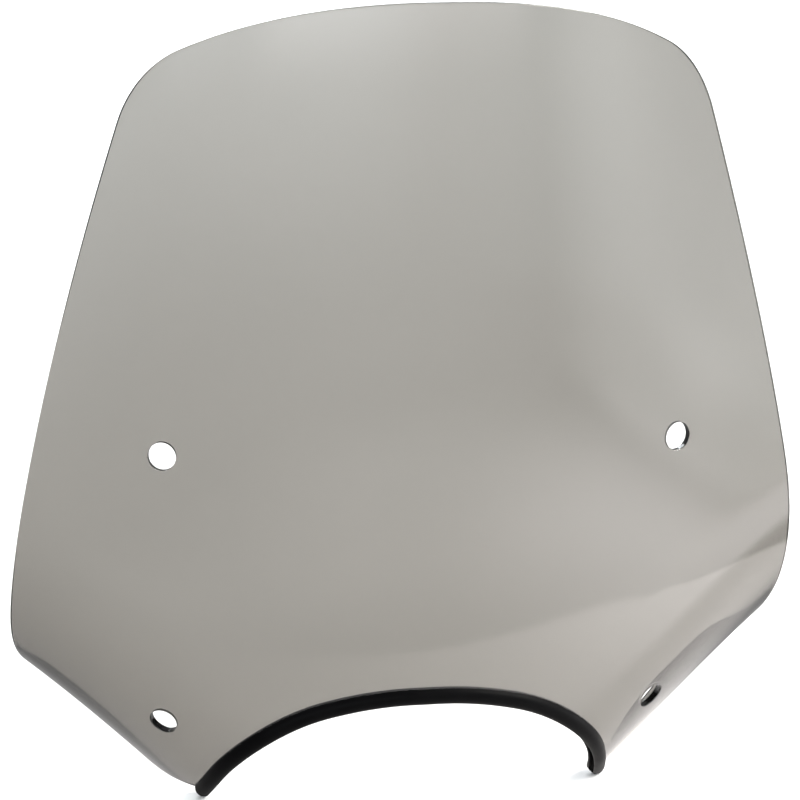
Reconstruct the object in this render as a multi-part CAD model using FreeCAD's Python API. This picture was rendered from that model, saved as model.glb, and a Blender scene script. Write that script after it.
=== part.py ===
"""Replacement screen for a motorcycle windshield.

A flat sheet of smoked acrylic is cut to outline, drilled with four mounting holes and
formed hot: it is bowed about its upright centre line, and both lower corners are rolled
back about slanting lines. A slit rubber trim is bonded on the edge of the headlight
cut-out.

Frame: millimetres, +Z up, the hollow side of the screen faces +Y (the rider), and X = 0
is the plane of symmetry. The origin is the top centre of the headlight cut-out, halfway
through the sheet.
"""
import FreeCAD, Part
import math
import os

Vector = FreeCAD.Vector
Vector2d = FreeCAD.Base.Vector2d

# Sheet
SHEET_THICKNESS = 4.76          # 3/16 in
SCREEN_HEIGHT = 475.0           # cut-out's top centre to the top edge, on the flat blank

# Bow about the upright centre line: tighter at the top than at the cut-out
BOW_RADIUS_TOP = 230.0
BOW_RADIUS_CUTOUT = 440.0
SIDE_FLATTENING = 2.63e-8       # per mm cubed: how fast the bow fades towards the sides
LEAN_RADIUS = 2000.0            # gentle curve of the centre line, seen from the side
LEAN_HEIGHT = 200.0             # height at which the centre line is upright

# Roll of the lower corners
ROLL_ANGLE = math.radians(47.0)     # slant of the roll line from the upright
ROLL_OFFSET = 68.0                  # blank's origin to the roll line
ROLL_RAMP = 30.0                    # width over which the roll tightens to its radius
ROLL_RADIUS = 110.0

# Right half of the blank's outline, from the centre line to the tip: corners as
# (across, up, rounding radius)
TIP = (155.0, -94.0)                # where the lower edge meets the cut-out
OUTER_CORNERS = [
    (93.0, SCREEN_HEIGHT, 380.0),   # crown of the top edge
    (208.0, 419.0, 86.0),           # upper corner
    (264.0, 233.0, 1650.0),         # slow swell of the side
    (296.0, -58.0, 27.0),           # lower corner
    (223.0, -115.0, 85.0),          # belly of the lower edge
]
CUTOUT_CORNERS = [
    (32.0, 0.0, 200.0),             # crown of the cut-out
    (116.0, -22.0, 130.0),          # shoulder of the cut-out
]

# Mounting holes, on the blank
HOLE_RADIUS = 9.525                 # 3/4 in
HOLES = {
    "upper": (182.0, 166.5),
    "lower": (178.5, -30.0),
}
DRILL_LENGTH = 30.0

# Rubber trim on the cut-out's edge
TRIM_RADIUS = 6.35                  # 1/2 in round
TRIM_DROP = 1.0                     # trim's centre line below the sheet's cut edge
TRIM_OVERRUN = 6.0                  # trim's ends past the tips of the cut-out
TRIM_END_ROUNDING = 4.5
BOND_THICKNESS = 0.8                # adhesive between the sheet's edge and the slot's floor

# Modelling steps
GRID_STEP = 15.0
EDGE_STEP = 7.0
GRID_ACROSS = 315.0
GRID_BOTTOM = -135.0
GRID_TOP = 495.0
NORMAL_STEP = 0.5
INTEGRAL_STEPS = 16
TRIM_END_STEPS = 5
SHORTEST_EDGE = 0.01


def integral(function, end):
    """Simpson's rule from 0 to end."""
    step = end / INTEGRAL_STEPS
    total = function(0.0) + function(end)
    for i in range(1, INTEGRAL_STEPS):
        total += function(i * step) * (4 if i % 2 else 2)
    return total * step / 3


def ramp_angle(beyond):
    """Turn of the sheet inside the ramp of the corner roll."""
    return beyond ** 2 / (2 * ROLL_RAMP * ROLL_RADIUS)


def roll(beyond):
    """How far the roll draws in, and pushes back, a point this far beyond its line."""
    ramp = min(max(beyond, 0.0), ROLL_RAMP)
    drawn_in = integral(lambda w: 1 - math.cos(ramp_angle(w)), ramp)
    pushed_back = integral(lambda w: math.sin(ramp_angle(w)), ramp)
    arc = max(beyond - ROLL_RAMP, 0.0)
    start = ramp_angle(ramp)
    end = start + arc / ROLL_RADIUS
    drawn_in += arc - ROLL_RADIUS * (math.sin(end) - math.sin(start))
    pushed_back += ROLL_RADIUS * (math.cos(start) - math.cos(end))
    return drawn_in, pushed_back


def mid_point(across, up):
    """Where forming puts a point of the blank, halfway through the sheet."""
    side = math.copysign(1.0, across)
    along = Vector(math.cos(ROLL_ANGLE), -math.sin(ROLL_ANGLE), 0)
    flat = Vector(abs(across), up, 0)
    drawn_in, pushed_back = roll(flat.dot(along) - ROLL_OFFSET)
    flat -= along * drawn_in

    top, cutout = 1 / BOW_RADIUS_TOP, 1 / BOW_RADIUS_CUTOUT
    curvature = cutout + (top - cutout) * flat.y / SCREEN_HEIGHT

    def heading(distance):
        return curvature * distance - SIDE_FLATTENING * distance ** 3

    edge_heading = heading(flat.x)
    x = integral(lambda a: math.cos(heading(a)), flat.x) - pushed_back * math.sin(edge_heading)
    y = integral(lambda a: math.sin(heading(a)), flat.x) + pushed_back * math.cos(edge_heading)
    lean = ((flat.y - LEAN_HEIGHT) ** 2 - LEAN_HEIGHT ** 2) / (2 * LEAN_RADIUS)
    return Vector(side * x, y + lean, flat.y)


def front_normal(across, up):
    """Unit normal of the formed sheet, towards its front."""
    sideways = mid_point(across + NORMAL_STEP, up) - mid_point(across - NORMAL_STEP, up)
    upwards = mid_point(across, up + NORMAL_STEP) - mid_point(across, up - NORMAL_STEP)
    return sideways.cross(upwards).normalize()


def formed_point(across, up, forward=0.0):
    """A formed point, moved this far forward from the middle of the sheet."""
    return mid_point(across, up) + front_normal(across, up) * forward


def formed_surface(forward):
    """The sheet's whole surface at this distance forward of its middle."""
    columns = round(2 * GRID_ACROSS / GRID_STEP)
    rows = round((GRID_TOP - GRID_BOTTOM) / GRID_STEP)
    grid = []
    for i in range(columns + 1):
        across = -GRID_ACROSS + i * GRID_STEP
        grid.append([formed_point(across, GRID_BOTTOM + j * GRID_STEP, forward)
                     for j in range(rows + 1)])
    surface = Part.BSplineSurface()
    surface.interpolate(grid)
    return surface


def rounded_path(points):
    """Edges through the corners (across, up, radius), with tangent arcs in the corners."""
    corners = [Vector(x, y, 0) for x, y, _ in points]
    edges = []
    here = corners[0]
    for before, corner, after, (_, _, radius) in zip(corners, corners[1:], corners[2:], points[1:]):
        back = (before - corner).normalize()
        ahead = (after - corner).normalize()
        half_angle = back.getAngle(ahead) / 2
        reach = radius / math.tan(half_angle)
        centre = corner + (back + ahead).normalize() * (radius / math.sin(half_angle))
        middle = centre + (corner - centre).normalize() * radius
        start, end = corner + back * reach, corner + ahead * reach
        if start.distanceToPoint(here) > SHORTEST_EDGE:
            edges.append(Part.makeLine(here, start))
        edges.append(Part.Arc(start, middle, end).toShape())
        here = end
    edges.append(Part.makeLine(here, corners[-1]))
    return edges


def symmetric_path(tip, corners):
    """Rounded path from the left tip through the mirrored and given corners to the right tip."""
    left = [(-x, y, radius) for x, y, radius in reversed(corners)]
    return rounded_path([(-tip[0], tip[1], 0), *left, *corners, (tip[0], tip[1], 0)])


def edge_points(edge):
    """Points along a flat edge, evenly spaced."""
    return edge.discretize(Number=max(4, math.ceil(edge.Length / EDGE_STEP) + 1))


def formed_edge(flat_edge, surface, forward):
    """A flat edge of the blank, laid on the formed surface."""
    spots = []
    for point in edge_points(flat_edge):
        u, v = surface.parameter(formed_point(point.x, point.y, forward))
        spots.append(Vector2d(u, v))
    curve = Part.Geom2d.BSplineCurve2d()
    curve.interpolate(Points=spots)
    return curve.toShape(surface)


def formed_sheet(flat_edges):
    """Solid sheet, formed from a blank with this closed outline."""
    skins = []
    rims = []
    for forward in (SHEET_THICKNESS / 2, -SHEET_THICKNESS / 2):
        surface = formed_surface(forward)
        rim = [formed_edge(edge, surface, forward) for edge in flat_edges]
        skins.append(Part.Face(surface, Part.Wire(rim)))
        rims.append(rim)
    walls = [Part.makeRuledSurface(front, back) for front, back in zip(*rims)]
    shell = Part.Shell(skins + walls)
    shell.sewShape()
    solid = Part.Solid(shell)
    if solid.Volume < 0:
        solid.reverse()
    return solid


def drill(across, up):
    """Cylinder that drills a mounting hole square to the formed sheet."""
    axis = front_normal(across, up)
    start = mid_point(across, up) - axis * (DRILL_LENGTH / 2)
    return Part.makeCylinder(HOLE_RADIUS, DRILL_LENGTH, start, axis)


def make_screen(cutout):
    """The acrylic sheet with its four holes."""
    outline = symmetric_path(TIP, OUTER_CORNERS)
    sheet = formed_sheet(outline + cutout)
    for across, up in HOLES.values():
        for side in (-1, 1):
            sheet = sheet.cut(drill(side * across, up))
    return sheet


def below_cutout(cutout, drop):
    """Flat points at this distance below the cut-out's edge, from tip to tip."""
    points = []
    for edge in cutout:
        for point in edge_points(edge):
            tangent = edge.tangentAt(edge.Curve.parameter(point))
            spot = point + Vector(tangent.y, -tangent.x, 0) * drop
            if not points or spot.distanceToPoint(points[-1]) > SHORTEST_EDGE:
                points.append(spot)
    return points


def make_trim_bond(cutout):
    """Bead of adhesive between the sheet's cut edge and the floor of the trim's slot."""
    lower = below_cutout(cutout, BOND_THICKNESS)
    floor = Part.BSplineCurve()
    floor.interpolate(lower)
    left_end = Part.makeLine(Vector(-TIP[0], TIP[1], 0), lower[0])
    right_end = Part.makeLine(Vector(*TIP, 0), lower[-1])
    return formed_sheet([*cutout, right_end, floor.toShape(), left_end])


def trim_end(tip, inwards):
    """Stations of one rounded end, from the tip outwards: flat points and section radii."""
    outwards = (tip - inwards).normalize()
    stations = []
    for step in range(TRIM_END_STEPS + 1):
        turn = math.pi / 2 * step / (TRIM_END_STEPS + 1)
        reach = TRIM_OVERRUN - TRIM_END_ROUNDING * (1 - math.sin(turn))
        radius = TRIM_RADIUS - TRIM_END_ROUNDING * (1 - math.cos(turn))
        stations.append((tip + outwards * reach, radius))
    stations.append((tip + outwards * TRIM_OVERRUN, TRIM_RADIUS - TRIM_END_ROUNDING))
    return stations


def trim_section(before, here, after, radius):
    """Slit round section of the trim, square to its centre line."""
    centre = mid_point(here.x, here.y)
    along = mid_point(after.x, after.y) - mid_point(before.x, before.y)
    forward = front_normal(here.x, here.y)
    upward = along.cross(forward).normalize()
    scale = radius / TRIM_RADIUS
    half_slot = scale * SHEET_THICKNESS / 2
    lip = math.sqrt(radius ** 2 - half_slot ** 2)
    floor = scale * (TRIM_DROP - BOND_THICKNESS)
    front_lip = centre + forward * half_slot + upward * lip
    front_floor = centre + forward * half_slot + upward * floor
    back_floor = centre - forward * half_slot + upward * floor
    back_lip = centre - forward * half_slot + upward * lip
    return Part.Wire([
        Part.Arc(front_lip, centre - upward * radius, back_lip).toShape(),
        Part.makeLine(back_lip, back_floor),
        Part.makeLine(back_floor, front_floor),
        Part.makeLine(front_floor, front_lip),
    ])


def make_edge_trim(cutout):
    """Round rubber trim with rounded ends, slit to take the sheet's edge."""
    middle = below_cutout(cutout, TRIM_DROP)
    stations = [
        *reversed(trim_end(middle[0], middle[1])),
        *[(point, TRIM_RADIUS) for point in middle],
        *trim_end(middle[-1], middle[-2]),
    ]
    points = [point for point, _ in stations]
    befores = [points[0], *points[:-1]]
    afters = [*points[1:], points[-1]]
    sections = [trim_section(before, here, after, radius)
                for before, (here, radius), after in zip(befores, stations, afters)]
    return Part.makeLoft(sections, True)


def main():
    os.makedirs("parts", exist_ok=True)
    cutout = symmetric_path(TIP, CUTOUT_CORNERS)
    nodes = {
        "screen": make_screen(cutout),
        "edge_trim": make_edge_trim(cutout),
        "trim_bond": make_trim_bond(cutout),
    }
    for name, shape in nodes.items():
        shape.exportStep(f"parts/{name}.step")
        print(name, shape.isValid(), len(shape.Solids), round(shape.Volume), shape.BoundBox)


main()
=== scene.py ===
"""Looks of the windshield screen, in metres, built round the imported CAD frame.

The acrylic sheet and its rubber trim are rebuilt as smooth meshes with softened edges. Both
come from the same blank and the same forming as the CAD part: a flat outline, bowed about
its upright centre line and rolled back at the lower corners. The hidden bead of adhesive
keeps its CAD mesh.
"""
import math
import bmesh
import bpy
import numpy as np
from mathutils import Matrix, Vector


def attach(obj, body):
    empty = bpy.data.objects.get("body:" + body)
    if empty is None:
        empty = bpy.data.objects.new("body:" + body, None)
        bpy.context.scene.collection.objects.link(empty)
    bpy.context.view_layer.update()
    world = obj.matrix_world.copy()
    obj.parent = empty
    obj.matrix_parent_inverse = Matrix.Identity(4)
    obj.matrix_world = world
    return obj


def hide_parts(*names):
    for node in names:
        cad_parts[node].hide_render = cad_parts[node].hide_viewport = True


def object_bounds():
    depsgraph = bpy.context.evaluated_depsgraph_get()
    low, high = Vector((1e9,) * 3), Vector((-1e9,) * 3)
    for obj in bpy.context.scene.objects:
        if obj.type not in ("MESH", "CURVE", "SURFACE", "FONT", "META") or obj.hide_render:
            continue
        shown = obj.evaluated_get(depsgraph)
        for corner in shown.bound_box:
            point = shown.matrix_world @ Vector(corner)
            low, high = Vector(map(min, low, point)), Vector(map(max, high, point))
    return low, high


# Sheet and its forming, as in the CAD part, in metres
SHEET_THICKNESS = 0.00476
SCREEN_HEIGHT = 0.475
BOW_RADIUS_TOP = 0.230
BOW_RADIUS_CUTOUT = 0.440
SIDE_FLATTENING = 26.3
LEAN_RADIUS = 2.0
LEAN_HEIGHT = 0.200
ROLL_ANGLE = math.radians(47.0)
ROLL_OFFSET = 0.068
ROLL_RAMP = 0.030
ROLL_RADIUS = 0.110

# Right half of the blank's outline: corners as (across, up, rounding radius)
TIP = (0.155, -0.094)
OUTER_CORNERS = [
    (0.093, SCREEN_HEIGHT, 0.380),
    (0.208, 0.419, 0.086),
    (0.264, 0.233, 1.650),
    (0.296, -0.058, 0.027),
    (0.223, -0.115, 0.085),
]
CUTOUT_CORNERS = [
    (0.032, 0.0, 0.200),
    (0.116, -0.022, 0.130),
]
HOLE_RADIUS = 0.009525
HOLES = [(0.182, 0.1665), (0.1785, -0.030)]

# Rubber trim on the cut-out's edge, as in the CAD part
TRIM_RADIUS = 0.00635
TRIM_DROP = 0.001
TRIM_OVERRUN = 0.006
TRIM_END_ROUNDING = 0.0045
BOND_THICKNESS = 0.0008

# Detail that only the visual meshes have
EDGE_SOFTENING = 0.0009         # polished corner between a face and an edge wall
SLOT_CLEARANCE = 0.00004        # between the sheet and each wall of the trim's slot
LIP_SOFTENING = 0.0007          # rounding of the slot's two lips

# Mesh steps
CELL = 0.006
CURVE_STEP = 0.0022
HOLE_SIDES = 72
TRIM_STEP = 0.0022
TRIM_SIDES = 40
TRIM_END_STEPS = 12
SOFTENING_STEPS = 3
NORMAL_STEP = 0.0005
TINY = 1e-7

GAUSS_SPOTS, GAUSS_WEIGHTS = np.polynomial.legendre.leggauss(12)


# Forming

def integral(function, end):
    """Integral of a function from 0 to each value in end."""
    spots = end[..., None] * (GAUSS_SPOTS + 1) / 2
    return (function(spots) * GAUSS_WEIGHTS).sum(-1) * end / 2


def ramp_angle(beyond):
    """Turn of the sheet inside the ramp of the corner roll."""
    return beyond ** 2 / (2 * ROLL_RAMP * ROLL_RADIUS)


def roll(beyond):
    """How far the roll draws in, and pushes back, points this far beyond its line."""
    ramp = np.clip(beyond, 0.0, ROLL_RAMP)
    drawn_in = integral(lambda w: 1 - np.cos(ramp_angle(w)), ramp)
    pushed_back = integral(lambda w: np.sin(ramp_angle(w)), ramp)
    arc = np.maximum(beyond - ROLL_RAMP, 0.0)
    start = ramp_angle(ramp)
    end = start + arc / ROLL_RADIUS
    drawn_in = drawn_in + arc - ROLL_RADIUS * (np.sin(end) - np.sin(start))
    pushed_back = pushed_back + ROLL_RADIUS * (np.cos(start) - np.cos(end))
    return drawn_in, pushed_back


def mid_point(flat):
    """Where forming puts points of the blank, halfway through the sheet."""
    flat = np.asarray(flat, float)
    slant = np.array((math.cos(ROLL_ANGLE), -math.sin(ROLL_ANGLE)))
    folded = flat * (1, 1)
    folded[..., 0] = np.abs(flat[..., 0])
    drawn_in, pushed_back = roll(folded @ slant - ROLL_OFFSET)
    folded = folded - drawn_in[..., None] * slant
    across, up = folded[..., 0], folded[..., 1]

    top, cutout = 1 / BOW_RADIUS_TOP, 1 / BOW_RADIUS_CUTOUT
    curvature = cutout + (top - cutout) * up / SCREEN_HEIGHT

    def headings(distances):
        """Turn of the bowed sheet at distances from its centre line."""
        return curvature[..., None] * distances - SIDE_FLATTENING * distances ** 3

    edge_heading = headings(across[..., None])[..., 0]
    x = integral(lambda a: np.cos(headings(a)), across) - pushed_back * np.sin(edge_heading)
    y = integral(lambda a: np.sin(headings(a)), across) + pushed_back * np.cos(edge_heading)
    lean = ((up - LEAN_HEIGHT) ** 2 - LEAN_HEIGHT ** 2) / (2 * LEAN_RADIUS)
    return np.stack((np.where(flat[..., 0] < 0, -x, x), y + lean, up), -1)


def unit(vectors):
    """The vectors at length 1."""
    return vectors / np.linalg.norm(vectors, axis=-1, keepdims=True)


def front_normal(flat):
    """Unit normals of the formed sheet, towards its front."""
    flat = np.asarray(flat, float)
    sideways = mid_point(flat + (NORMAL_STEP, 0)) - mid_point(flat - (NORMAL_STEP, 0))
    upwards = mid_point(flat + (0, NORMAL_STEP)) - mid_point(flat - (0, NORMAL_STEP))
    return unit(np.cross(sideways, upwards))


# Flat outlines

def rounded_path(corners):
    """Points through the corners (across, up, radius), with tangent arcs in the corners."""
    spots = [np.array(corner[:2]) for corner in corners]
    path = [spots[0]]
    for before, corner, after, (_, _, radius) in zip(spots, spots[1:], spots[2:], corners[1:]):
        back, ahead = unit(before - corner), unit(after - corner)
        half_angle = math.acos(back @ ahead) / 2
        centre = corner + unit(back + ahead) * radius / math.sin(half_angle)
        start = corner + back * radius / math.tan(half_angle) - centre
        turn = math.pi - 2 * half_angle
        if back[0] * ahead[1] - back[1] * ahead[0] > 0:
            turn = -turn
        steps = max(3, math.ceil(abs(turn) * radius / CURVE_STEP))
        for angle in np.linspace(0, turn, steps + 1):
            cos, sin = math.cos(angle), math.sin(angle)
            path.append(centre + (start[0] * cos - start[1] * sin, start[0] * sin + start[1] * cos))
    path.append(spots[-1])
    apart = [path[0]]
    for spot in path[1:]:
        if np.linalg.norm(spot - apart[-1]) > TINY:
            apart.append(spot)
    return np.array(apart)


def symmetric_path(corners):
    """Rounded path from the left tip, through the mirrored and given corners, to the right tip."""
    left = [(-x, y, radius) for x, y, radius in reversed(corners)]
    return rounded_path([(-TIP[0], TIP[1], 0), *left, *corners, (*TIP, 0)])


def blank_loops():
    """The blank's closed outline and its four holes, each with the material on its right."""
    around = np.concatenate((symmetric_path(OUTER_CORNERS), symmetric_path(CUTOUT_CORNERS)[-2:0:-1]))
    loops = [around]
    angles = np.linspace(0, 2 * math.pi, HOLE_SIDES, endpoint=False)
    circle = np.stack((np.cos(angles), np.sin(angles)), -1) * HOLE_RADIUS
    for across, up in HOLES:
        for side in (-1, 1):
            loops.append(circle + (side * across, up))
    return loops


def outward(loop):
    """For each corner of a closed loop, the step that moves both its sides out by 1."""
    sides = unit(np.roll(loop, -1, 0) - loop)
    after = np.stack((-sides[:, 1], sides[:, 0]), -1)
    before = np.roll(after, 1, 0)
    return (before + after) / (1 + (before * after).sum(-1, keepdims=True))


def flat_cells(loops):
    """A flat sheet inside the loops, cut into square cells. Returns points, faces and rims."""
    mesh = bmesh.new()
    for loop in loops:
        corners = [mesh.verts.new((x, y, 0)) for x, y in loop]
        for here, there in zip(corners, corners[1:] + corners[:1]):
            mesh.edges.new((here, there))
    bmesh.ops.triangle_fill(mesh, use_beauty=True, use_dissolve=False, edges=mesh.edges[:])
    low, high = loops[0].min(0), loops[0].max(0)
    for axis in (0, 1):
        normal = (1 - axis, axis, 0)
        first, last = math.ceil(low[axis] / CELL), math.floor(high[axis] / CELL)
        for line in range(first, last + 1):
            spot = (line * CELL + CELL / 2 * (1 - axis)) * Vector(normal)
            geometry = mesh.verts[:] + mesh.edges[:] + mesh.faces[:]
            bmesh.ops.bisect_plane(mesh, geom=geometry, dist=TINY, plane_co=spot, plane_no=normal)

    def on_line(edge):
        """Whether an edge runs along a line of the cells."""
        run = edge.verts[1].co - edge.verts[0].co
        return min(abs(run.x), abs(run.y)) < TINY * 10

    slanted = [edge for edge in mesh.edges if not edge.is_boundary and not on_line(edge)]
    bmesh.ops.dissolve_edges(mesh, edges=slanted, use_verts=False)
    spare = [v for v in mesh.verts if not v.is_boundary and len(v.link_edges) == 2]
    bmesh.ops.dissolve_verts(mesh, verts=spare)
    mesh.verts.index_update()
    points = np.array([v.co[:2] for v in mesh.verts])
    faces = [[v.index for v in face.verts] for face in mesh.faces]
    ahead = {}
    for edge in mesh.edges:
        if edge.is_boundary:
            for here, there in (edge.verts, reversed(edge.verts)):
                ahead.setdefault(here.index, []).append(there.index)
    mesh.free()
    rims = []
    while ahead:
        rim = [next(iter(ahead))]
        step = ahead.pop(rim[0])[0]
        while step != rim[0]:
            rim.append(step)
            step = next(v for v in ahead.pop(step) if v != rim[-2])
        rims.append(rim)
    return points, faces, rims


def steps_out(points, loops, steps):
    """For points on the sides of the loops, the step out between those of the side's two ends."""
    starts = np.concatenate(loops)
    ends = np.concatenate([np.roll(loop, -1, 0) for loop in loops])
    start_steps = np.concatenate(steps)
    end_steps = np.concatenate([np.roll(step, -1, 0) for step in steps])
    runs = ends - starts
    found = []
    for point in points:
        share = ((point - starts) * runs).sum(-1) / (runs ** 2).sum(-1)
        share = np.clip(share, 0, 1)[:, None]
        side = np.linalg.norm(starts + runs * share - point, axis=-1).argmin()
        found.append(start_steps[side] * (1 - share[side]) + end_steps[side] * share[side])
    return np.array(found)


# Meshes

def make_object(name, points, faces, material, normals=None):
    """A smooth object. Without normals of their own, its points get averaged ones."""
    mesh = bpy.data.meshes.new(name)
    mesh.from_pydata([tuple(p) for p in points], [], faces)
    tidy = bmesh.new()
    tidy.from_mesh(mesh)
    if normals is None:
        bmesh.ops.remove_doubles(tidy, verts=tidy.verts[:], dist=TINY * 50)
    bmesh.ops.recalc_face_normals(tidy, faces=tidy.faces[:])
    tidy.to_mesh(mesh)
    tidy.free()
    mesh.shade_smooth()
    if normals is not None:
        mesh.normals_split_custom_set_from_vertices([tuple(n) for n in normals])
    mesh.materials.append(material)
    made = bpy.data.objects.new(name, mesh)
    bpy.context.scene.collection.objects.link(made)
    return made


def make_sheet(material):
    """The formed sheet: two faces in cells, joined round every rim by a softened edge wall."""
    loops = blank_loops()
    steps = [outward(loop) for loop in loops]
    inset = [loop - step * EDGE_SOFTENING for loop, step in zip(loops, steps)]
    flat, cells, rims = flat_cells(inset)
    count = len(flat)
    half = SHEET_THICKNESS / 2
    middle, front = mid_point(flat), front_normal(flat)
    points = [middle + front * half, middle - front * half]
    normals = [front, -front]
    faces = cells + [[i + count for i in reversed(cell)] for cell in cells]

    tilts = np.linspace(0, math.pi / 2, SOFTENING_STEPS + 1)
    front_stations = [(t, half - EDGE_SOFTENING * (1 - math.cos(t))) for t in tilts[1:]]
    back_stations = [(t, -forward) for t, forward in reversed(front_stations)]
    total = 2 * count
    for rim in rims:
        around = flat[rim]
        step = steps_out(around, inset, steps)
        ring = list(rim)
        for tilt, forward in front_stations + back_stations:
            moved = around + step * EDGE_SOFTENING * math.sin(tilt)
            normal = front_normal(moved)
            points.append(mid_point(moved) + normal * forward)
            out = mid_point(moved + step * NORMAL_STEP) - mid_point(moved - step * NORMAL_STEP)
            flat_part = math.copysign(math.cos(tilt), forward)
            normals.append(unit(unit(out) * math.sin(tilt) + normal * flat_part))
            ring_on = list(range(total, total + len(rim)))
            faces += bridge(ring, ring_on)
            ring = ring_on
            total += len(rim)
        faces += bridge(ring, [i + count for i in rim])
    return make_object("smoked_sheet", np.concatenate(points), faces, material,
                       np.concatenate(normals))


def bridge(ring, ring_on):
    """Quads between two closed rings of the same length."""
    return [[a, b, c, d] for a, b, c, d in zip(ring, ring[1:] + ring[:1],
                                              ring_on[1:] + ring_on[:1], ring_on)]


def trim_stations():
    """Stations along the trim: flat centre, distance past the nearer tip, section radius."""
    edge = symmetric_path(CUTOUT_CORNERS)
    lengths = np.concatenate(([0], np.cumsum(np.linalg.norm(np.diff(edge, axis=0), axis=1))))
    even = np.linspace(0, lengths[-1], round(lengths[-1] / TRIM_STEP) + 1)
    edge = np.stack([np.interp(even, lengths, edge[:, axis]) for axis in (0, 1)], -1)
    along = unit(np.gradient(edge, axis=0))
    middle = edge + np.stack((along[:, 1], -along[:, 0]), -1) * TRIM_DROP
    stations = [(spot, 0.0, TRIM_RADIUS) for spot in middle]
    for tip, inwards, order in ((middle[0], middle[1], -1), (middle[-1], middle[-2], 1)):
        end = []
        for turn in np.linspace(0, math.pi / 2, TRIM_END_STEPS + 1):
            reach = TRIM_OVERRUN - TRIM_END_ROUNDING * (1 - math.sin(turn))
            radius = TRIM_RADIUS - TRIM_END_ROUNDING * (1 - math.cos(turn))
            end.append((tip + unit(tip - inwards) * reach, reach, radius))
        stations = end[::-1] + stations if order < 0 else stations + end
    return stations


def trim_profile(past_tip, radius):
    """The trim's section as (forward, upward) points: round the outside, then into the slot."""
    half_sheet = SHEET_THICKNESS / 2
    lip_height = math.sqrt(radius ** 2 - half_sheet ** 2) if radius > half_sheet else radius
    floor = max(TRIM_DROP - BOND_THICKNESS, past_tip - LIP_SOFTENING)
    openness = min(max((lip_height - floor) / (2 * LIP_SOFTENING), 0.0), 1.0)
    half_slot = (half_sheet + SLOT_CLEARANCE) * openness
    softening = LIP_SOFTENING * openness
    # the lip's rounding touches the slot's wall and the outside of the section
    lip_forward = half_slot + softening
    lip_up = math.sqrt(max((radius - softening) ** 2 - lip_forward ** 2, 0.0))
    meets = math.atan2(lip_forward, lip_up)
    outside = [(radius * math.sin(a), radius * math.cos(a))
               for a in np.linspace(meets, 2 * math.pi - meets, TRIM_SIDES + 1)]
    turns = np.linspace(2 * math.pi - meets, 2.5 * math.pi, SOFTENING_STEPS + 2)[1:]
    back_lip = [(softening * math.sin(a) - lip_forward, softening * math.cos(a) + lip_up)
                for a in turns]
    depth = min(floor, lip_up)
    back_wall = [(-half_slot, lip_up + (depth - lip_up) * share) for share in (0.5, 1.0)]
    half = back_lip + back_wall
    mirrored = [(-forward, up) for forward, up in reversed(half)]
    return outside + half + mirrored


def make_trim(material):
    """Round rubber trim with rounded ends, slit to take the sheet's edge."""
    stations = trim_stations()
    flat = np.array([spot for spot, _, _ in stations])
    centre, forward = mid_point(flat), front_normal(flat)
    along = unit(np.gradient(centre, axis=0))
    upward = unit(np.cross(along, forward))
    points = []
    for (_, past_tip, radius), spot, ahead, up in zip(stations, centre, forward, upward):
        profile = trim_profile(past_tip, radius)
        points += [spot + ahead * f + up * u for f, u in profile]
    sides = len(points) // len(stations)
    faces = []
    for station in range(len(stations) - 1):
        ring = list(range(station * sides, (station + 1) * sides))
        faces += bridge(ring, [i + sides for i in ring])
    faces.append(list(range(sides)))
    faces.append(list(range(len(points) - sides, len(points))))
    return make_object("rubber_trim", points, faces, material)


# Materials

def new_material(name):
    """A material with only an output, and its nodes."""
    material = bpy.data.materials.new(name)
    material.use_nodes = True
    material.node_tree.nodes.clear()
    return material, material.node_tree


def add_node(tree, kind, settings=None, **inputs):
    """A node with plain values, or links, in its named inputs."""
    node = tree.nodes.new(kind)
    for name, value in (settings or {}).items():
        setattr(node, name, value)
    for name, value in inputs.items():
        socket = node.inputs[name.replace("_", " ")]
        if isinstance(value, bpy.types.NodeSocket):
            tree.links.new(value, socket)
        else:
            socket.default_value = value
    return node


def scaled(tree, value, low, high, at_low, at_high):
    """A value remapped from low..high to at_low..at_high, clamped."""
    node = add_node(tree, "ShaderNodeMapRange", Value=value, From_Min=low, From_Max=high,
                    To_Min=at_low, To_Max=at_high)
    return node.outputs["Result"]


def blend_colours(tree, share, first, second):
    """A colour between two, by a share from 0 to 1."""
    node = tree.nodes.new("ShaderNodeMix")
    node.data_type = "RGBA"
    tree.links.new(share, node.inputs["Factor"])
    # the colour sockets of a Mix node are its last A, B and Result
    node.inputs[6].default_value = (*first, 1)
    node.inputs[7].default_value = (*second, 1)
    return node.outputs[2]


def smoked_acrylic():
    """Clear acrylic whose smoke tint comes from its thickness, with faint haze and uneven gloss."""
    material, tree = new_material("smoked_acrylic")
    place = add_node(tree, "ShaderNodeTexCoord").outputs["Object"]
    haze = add_node(tree, "ShaderNodeTexNoise", Vector=place, Scale=9.0, Detail=3.0)
    gloss = add_node(tree, "ShaderNodeTexNoise", Vector=place, Scale=26.0, Detail=2.0)
    surface = add_node(
        tree, "ShaderNodeBsdfPrincipled",
        Base_Color=blend_colours(tree, haze.outputs["Fac"], (0.93, 0.935, 0.925), (0.97, 0.965, 0.955)),
        Roughness=scaled(tree, gloss.outputs["Fac"], 0.3, 0.7, 0.030, 0.045),
        IOR=1.49, Transmission_Weight=1.0)
    volume = add_node(tree, "ShaderNodeVolumeAbsorption", Color=(0.567, 0.551, 0.529, 1), Density=700.0)
    add_node(tree, "ShaderNodeOutputMaterial", Surface=surface.outputs[0], Volume=volume.outputs[0])
    return material


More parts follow.
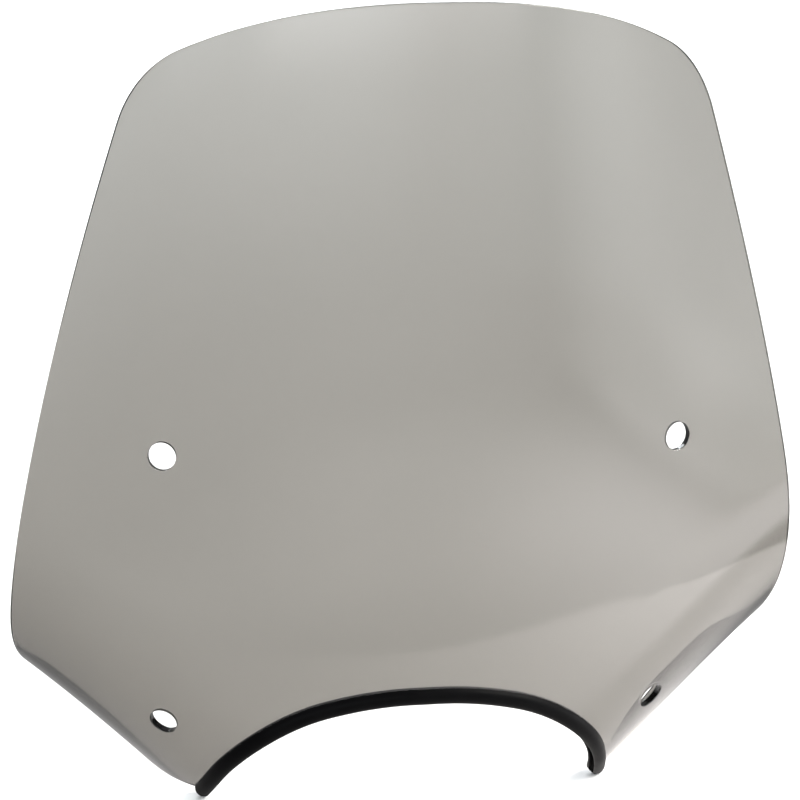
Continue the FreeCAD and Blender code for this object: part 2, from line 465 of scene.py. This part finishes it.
def black_rubber():
    """Matt black rubber with a fine grain, a little uneven."""
    material, tree = new_material("black_rubber")
    place = add_node(tree, "ShaderNodeTexCoord").outputs["Object"]
    grain = add_node(tree, "ShaderNodeTexNoise", Vector=place, Scale=900.0, Detail=5.0)
    patch = add_node(tree, "ShaderNodeTexNoise", Vector=place, Scale=60.0, Detail=3.0)
    bump = add_node(tree, "ShaderNodeBump", Height=grain.outputs["Fac"], Strength=0.25, Distance=0.0002)
    surface = add_node(
        tree, "ShaderNodeBsdfPrincipled",
        Base_Color=blend_colours(tree, patch.outputs["Fac"],
                                 (0.0006, 0.0006, 0.0007), (0.0020, 0.0020, 0.0023)),
        Roughness=scaled(tree, patch.outputs["Fac"], 0.3, 0.7, 0.38, 0.52), Specular_IOR_Level=0.035,
        Normal=bump.outputs[0])
    add_node(tree, "ShaderNodeOutputMaterial", Surface=surface.outputs[0])
    return material


def black_adhesive():
    """Lumpy black adhesive, hidden inside the trim."""
    material, tree = new_material("black_adhesive")
    place = add_node(tree, "ShaderNodeTexCoord").outputs["Object"]
    lumps = add_node(tree, "ShaderNodeTexNoise", Vector=place, Scale=300.0, Detail=3.0)
    bump = add_node(tree, "ShaderNodeBump", Height=lumps.outputs["Fac"], Strength=0.5, Distance=0.0004)
    surface = add_node(
        tree, "ShaderNodeBsdfPrincipled",
        Base_Color=blend_colours(tree, lumps.outputs["Fac"], (0.012, 0.012, 0.012), (0.03, 0.03, 0.03)),
        Roughness=scaled(tree, lumps.outputs["Fac"], 0.3, 0.7, 0.55, 0.8),
        Normal=bump.outputs[0])
    add_node(tree, "ShaderNodeOutputMaterial", Surface=surface.outputs[0])
    return material


# Studio

CAMERA_TARGET = Vector((-0.0167, 0.030, 0.2000))
CAMERA_AZIMUTH = math.radians(-12.21)
CAMERA_ELEVATION = math.radians(18.35)
CAMERA_ROLL = math.radians(1.717)
CAMERA_DISTANCE = 2.757
CAMERA_LENS = 186.4
FLOOR_REACH = 9.0
WORLD_GLOW = 0.5


def place_camera():
    """A long lens, a little left of the screen and above it."""
    back = Vector((math.sin(CAMERA_AZIMUTH) * math.cos(CAMERA_ELEVATION),
                   -math.cos(CAMERA_AZIMUTH) * math.cos(CAMERA_ELEVATION),
                   math.sin(CAMERA_ELEVATION)))
    camera = bpy.data.cameras.new("camera")
    camera.lens = CAMERA_LENS
    camera.sensor_width = 36.0
    camera.clip_start, camera.clip_end = 0.05, 60.0
    holder = bpy.data.objects.new("camera", camera)
    turn = (-back).to_track_quat("-Z", "Y").to_matrix().to_4x4()
    holder.matrix_world = (Matrix.Translation(CAMERA_TARGET + back * CAMERA_DISTANCE) @ turn
                           @ Matrix.Rotation(CAMERA_ROLL, 4, "Z"))
    bpy.context.scene.collection.objects.link(holder)
    bpy.context.scene.camera = holder


def make_floor(height):
    """A plain pale floor, which reflections in the sheet leave out."""
    material, tree = new_material("studio_floor")
    place = add_node(tree, "ShaderNodeTexCoord").outputs["Object"]
    cloud = add_node(tree, "ShaderNodeTexNoise", Vector=place, Scale=2.0, Detail=2.0)
    tone = blend_colours(tree, cloud.outputs["Fac"], (0.89, 0.89, 0.89), (0.91, 0.91, 0.91))
    surface = add_node(tree, "ShaderNodeBsdfPrincipled", Base_Color=tone, Roughness=0.9)
    add_node(tree, "ShaderNodeOutputMaterial", Surface=surface.outputs[0])
    turns = ((-1, -1), (1, -1), (1, 1), (-1, 1))
    corners = [(x * FLOOR_REACH, y * FLOOR_REACH, height) for x, y in turns]
    floor = make_object("studio_floor", corners, [[0, 1, 2, 3]], material)
    floor.visible_glossy = False


def fade(tree, share, edge, width):
    """Smooth rise from 0 at one edge of a light (share 0 or 1) to 1 further in."""
    inner = edge + width if edge == 0 else edge - width
    node = add_node(tree, "ShaderNodeMapRange", {"interpolation_type": "SMOOTHSTEP"},
                    Value=share, From_Min=float(edge), From_Max=inner)
    return node.outputs["Result"]


def add_soft_box(name, place, tilt, heading, size, glow, colour, fades):
    """A panel of light that only reflections and lit surfaces see.

    Tilt 0 looks straight down, 90 level and 180 up. Heading 0 looks to the back, and turns to
    the left. The glow fades in over a share of the size at the left, right, low and high edges.
    """
    light = bpy.data.lights.new(name, "AREA")
    light.shape = "RECTANGLE"
    light.size, light.size_y = size
    light.energy = glow * math.pi * size[0] * size[1]
    light.color = colour
    light.use_nodes = True
    tree = light.node_tree
    tree.nodes.clear()
    spot = add_node(tree, "ShaderNodeNewGeometry").outputs["Parametric"]
    shares = add_node(tree, "ShaderNodeSeparateXYZ", Vector=spot).outputs
    strength = fade(tree, shares["X"], 0, fades[0])
    for share, edge, width in ((shares["X"], 1, fades[1]), (shares["Y"], 0, fades[2]),
                               (shares["Y"], 1, fades[3])):
        product = add_node(tree, "ShaderNodeMath", {"operation": "MULTIPLY"})
        tree.links.new(strength, product.inputs[0])
        tree.links.new(fade(tree, share, edge, width), product.inputs[1])
        strength = product.outputs[0]
    glowing = add_node(tree, "ShaderNodeEmission", Strength=strength)
    add_node(tree, "ShaderNodeOutputLight", Surface=glowing.outputs[0])
    holder = bpy.data.objects.new(name, light)
    holder.location = place
    holder.rotation_euler = (math.radians(tilt), 0, math.radians(heading))
    holder.visible_camera = False
    holder.visible_transmission = False
    bpy.context.scene.collection.objects.link(holder)


def light_studio(floor):
    """A window at the front left, softer light from the right, a lit table and floor, and lamps.

    The table and floor boxes lie just above the floor and face up, for reflections of them.
    """
    add_soft_box("window", (-0.80, -1.50, 0.45), 90, -28, (3.0, 1.08),
                 glow=1.1, colour=(0.88, 0.96, 1.00), fades=(0.15, 0.5, 0.6, 0.1))
    add_soft_box("window_high", (-0.72, -1.54, 0.85), 90, -25, (3.2, 0.90),
                 glow=2.2, colour=(0.86, 0.95, 1.00), fades=(0.15, 0.5, 0.35, 0.1))
    add_soft_box("front_right", (1.2, -1.2, 0.45), 90, 45, (2.6, 1.08),
                 glow=0.36, colour=(0.87, 1.00, 1.00), fades=(0.5, 0.3, 0.1, 0.3))
    add_soft_box("horizon", (0.0, -2.2, 0.62), 90, 0, (5.0, 0.6),
                 glow=1.95, colour=(1.00, 0.95, 0.94), fades=(0.2, 0.2, 0.6, 0.2))
    add_soft_box("table", (0.07, 0.003, floor + 0.002), 180, 0, (0.84, 0.446),
                 glow=2.3, colour=(1.00, 0.95, 0.92), fades=(0.95, 0.02, 0.36, 0.05))
    add_soft_box("floor_right", (0.65, -0.40, floor + 0.0015), 180, 0, (1.3, 0.8),
                 glow=3.17, colour=(1.00, 0.97, 0.98), fades=(0.5, 0.5, 0.1, 0.7))
    add_soft_box("floor_front", (0.15, -0.6, floor + 0.001), 180, 0, (1.6, 0.9),
                 glow=0.9, colour=(1.0, 0.97, 0.95), fades=(0.4, 0.4, 0.3, 0.5))
    add_soft_box("side", (0.85, -0.25, 0.33), 90, 90, (1.3, 0.84),
                 glow=2.25, colour=(0.99, 1.00, 0.98), fades=(0.5, 0.5, 0.08, 0.4))
    add_soft_box("side_low", (0.75, 0.05, 0.05), 90, 90, (0.7, 0.28),
                 glow=5.0, colour=(1.00, 0.99, 0.99), fades=(0.3, 0.3, 0.1, 0.5))
    add_soft_box("back", (0.3, 2.6, 1.9), 0, 0, (3.5, 1.5),
                 glow=8.7, colour=(0.92, 0.97, 1.0), fades=(0.1, 0.1, 0.1, 0.1))
    add_soft_box("key", (1.55, -0.41, 1.5), 50, 75, (1.4, 1.0),
                 glow=18.47, colour=(1.0, 0.97, 0.93), fades=(0.1, 0.1, 0.1, 0.1))


def make_world():
    """The same dim white from every side."""
    world = bpy.data.worlds.new("studio")
    world.use_nodes = True
    tree = world.node_tree
    tree.nodes.clear()
    background = add_node(tree, "ShaderNodeBackground", Color=(1, 1, 1, 1), Strength=WORLD_GLOW)
    add_node(tree, "ShaderNodeOutputWorld", Surface=background.outputs[0])
    bpy.context.scene.world = world


# Scene

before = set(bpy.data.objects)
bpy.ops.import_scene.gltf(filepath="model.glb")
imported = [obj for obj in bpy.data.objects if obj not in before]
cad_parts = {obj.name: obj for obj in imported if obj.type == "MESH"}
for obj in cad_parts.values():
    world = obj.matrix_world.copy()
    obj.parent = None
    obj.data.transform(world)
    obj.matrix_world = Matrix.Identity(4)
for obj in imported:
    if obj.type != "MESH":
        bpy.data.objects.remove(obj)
cad_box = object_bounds()

sheet = make_sheet(smoked_acrylic())
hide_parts("screen")
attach(sheet, "root")
sheet.visible_shadow = False    # or the renderer would give the clear sheet an opaque shadow

trim = make_trim(black_rubber())
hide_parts("edge_trim")
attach(trim, "root")

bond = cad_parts["trim_bond"]
bond.data.materials.clear()
bond.data.materials.append(black_adhesive())

make_floor(cad_box[0].z)
make_world()
light_studio(cad_box[0].z)
place_camera()
bpy.context.scene.view_settings.view_transform = "Standard"
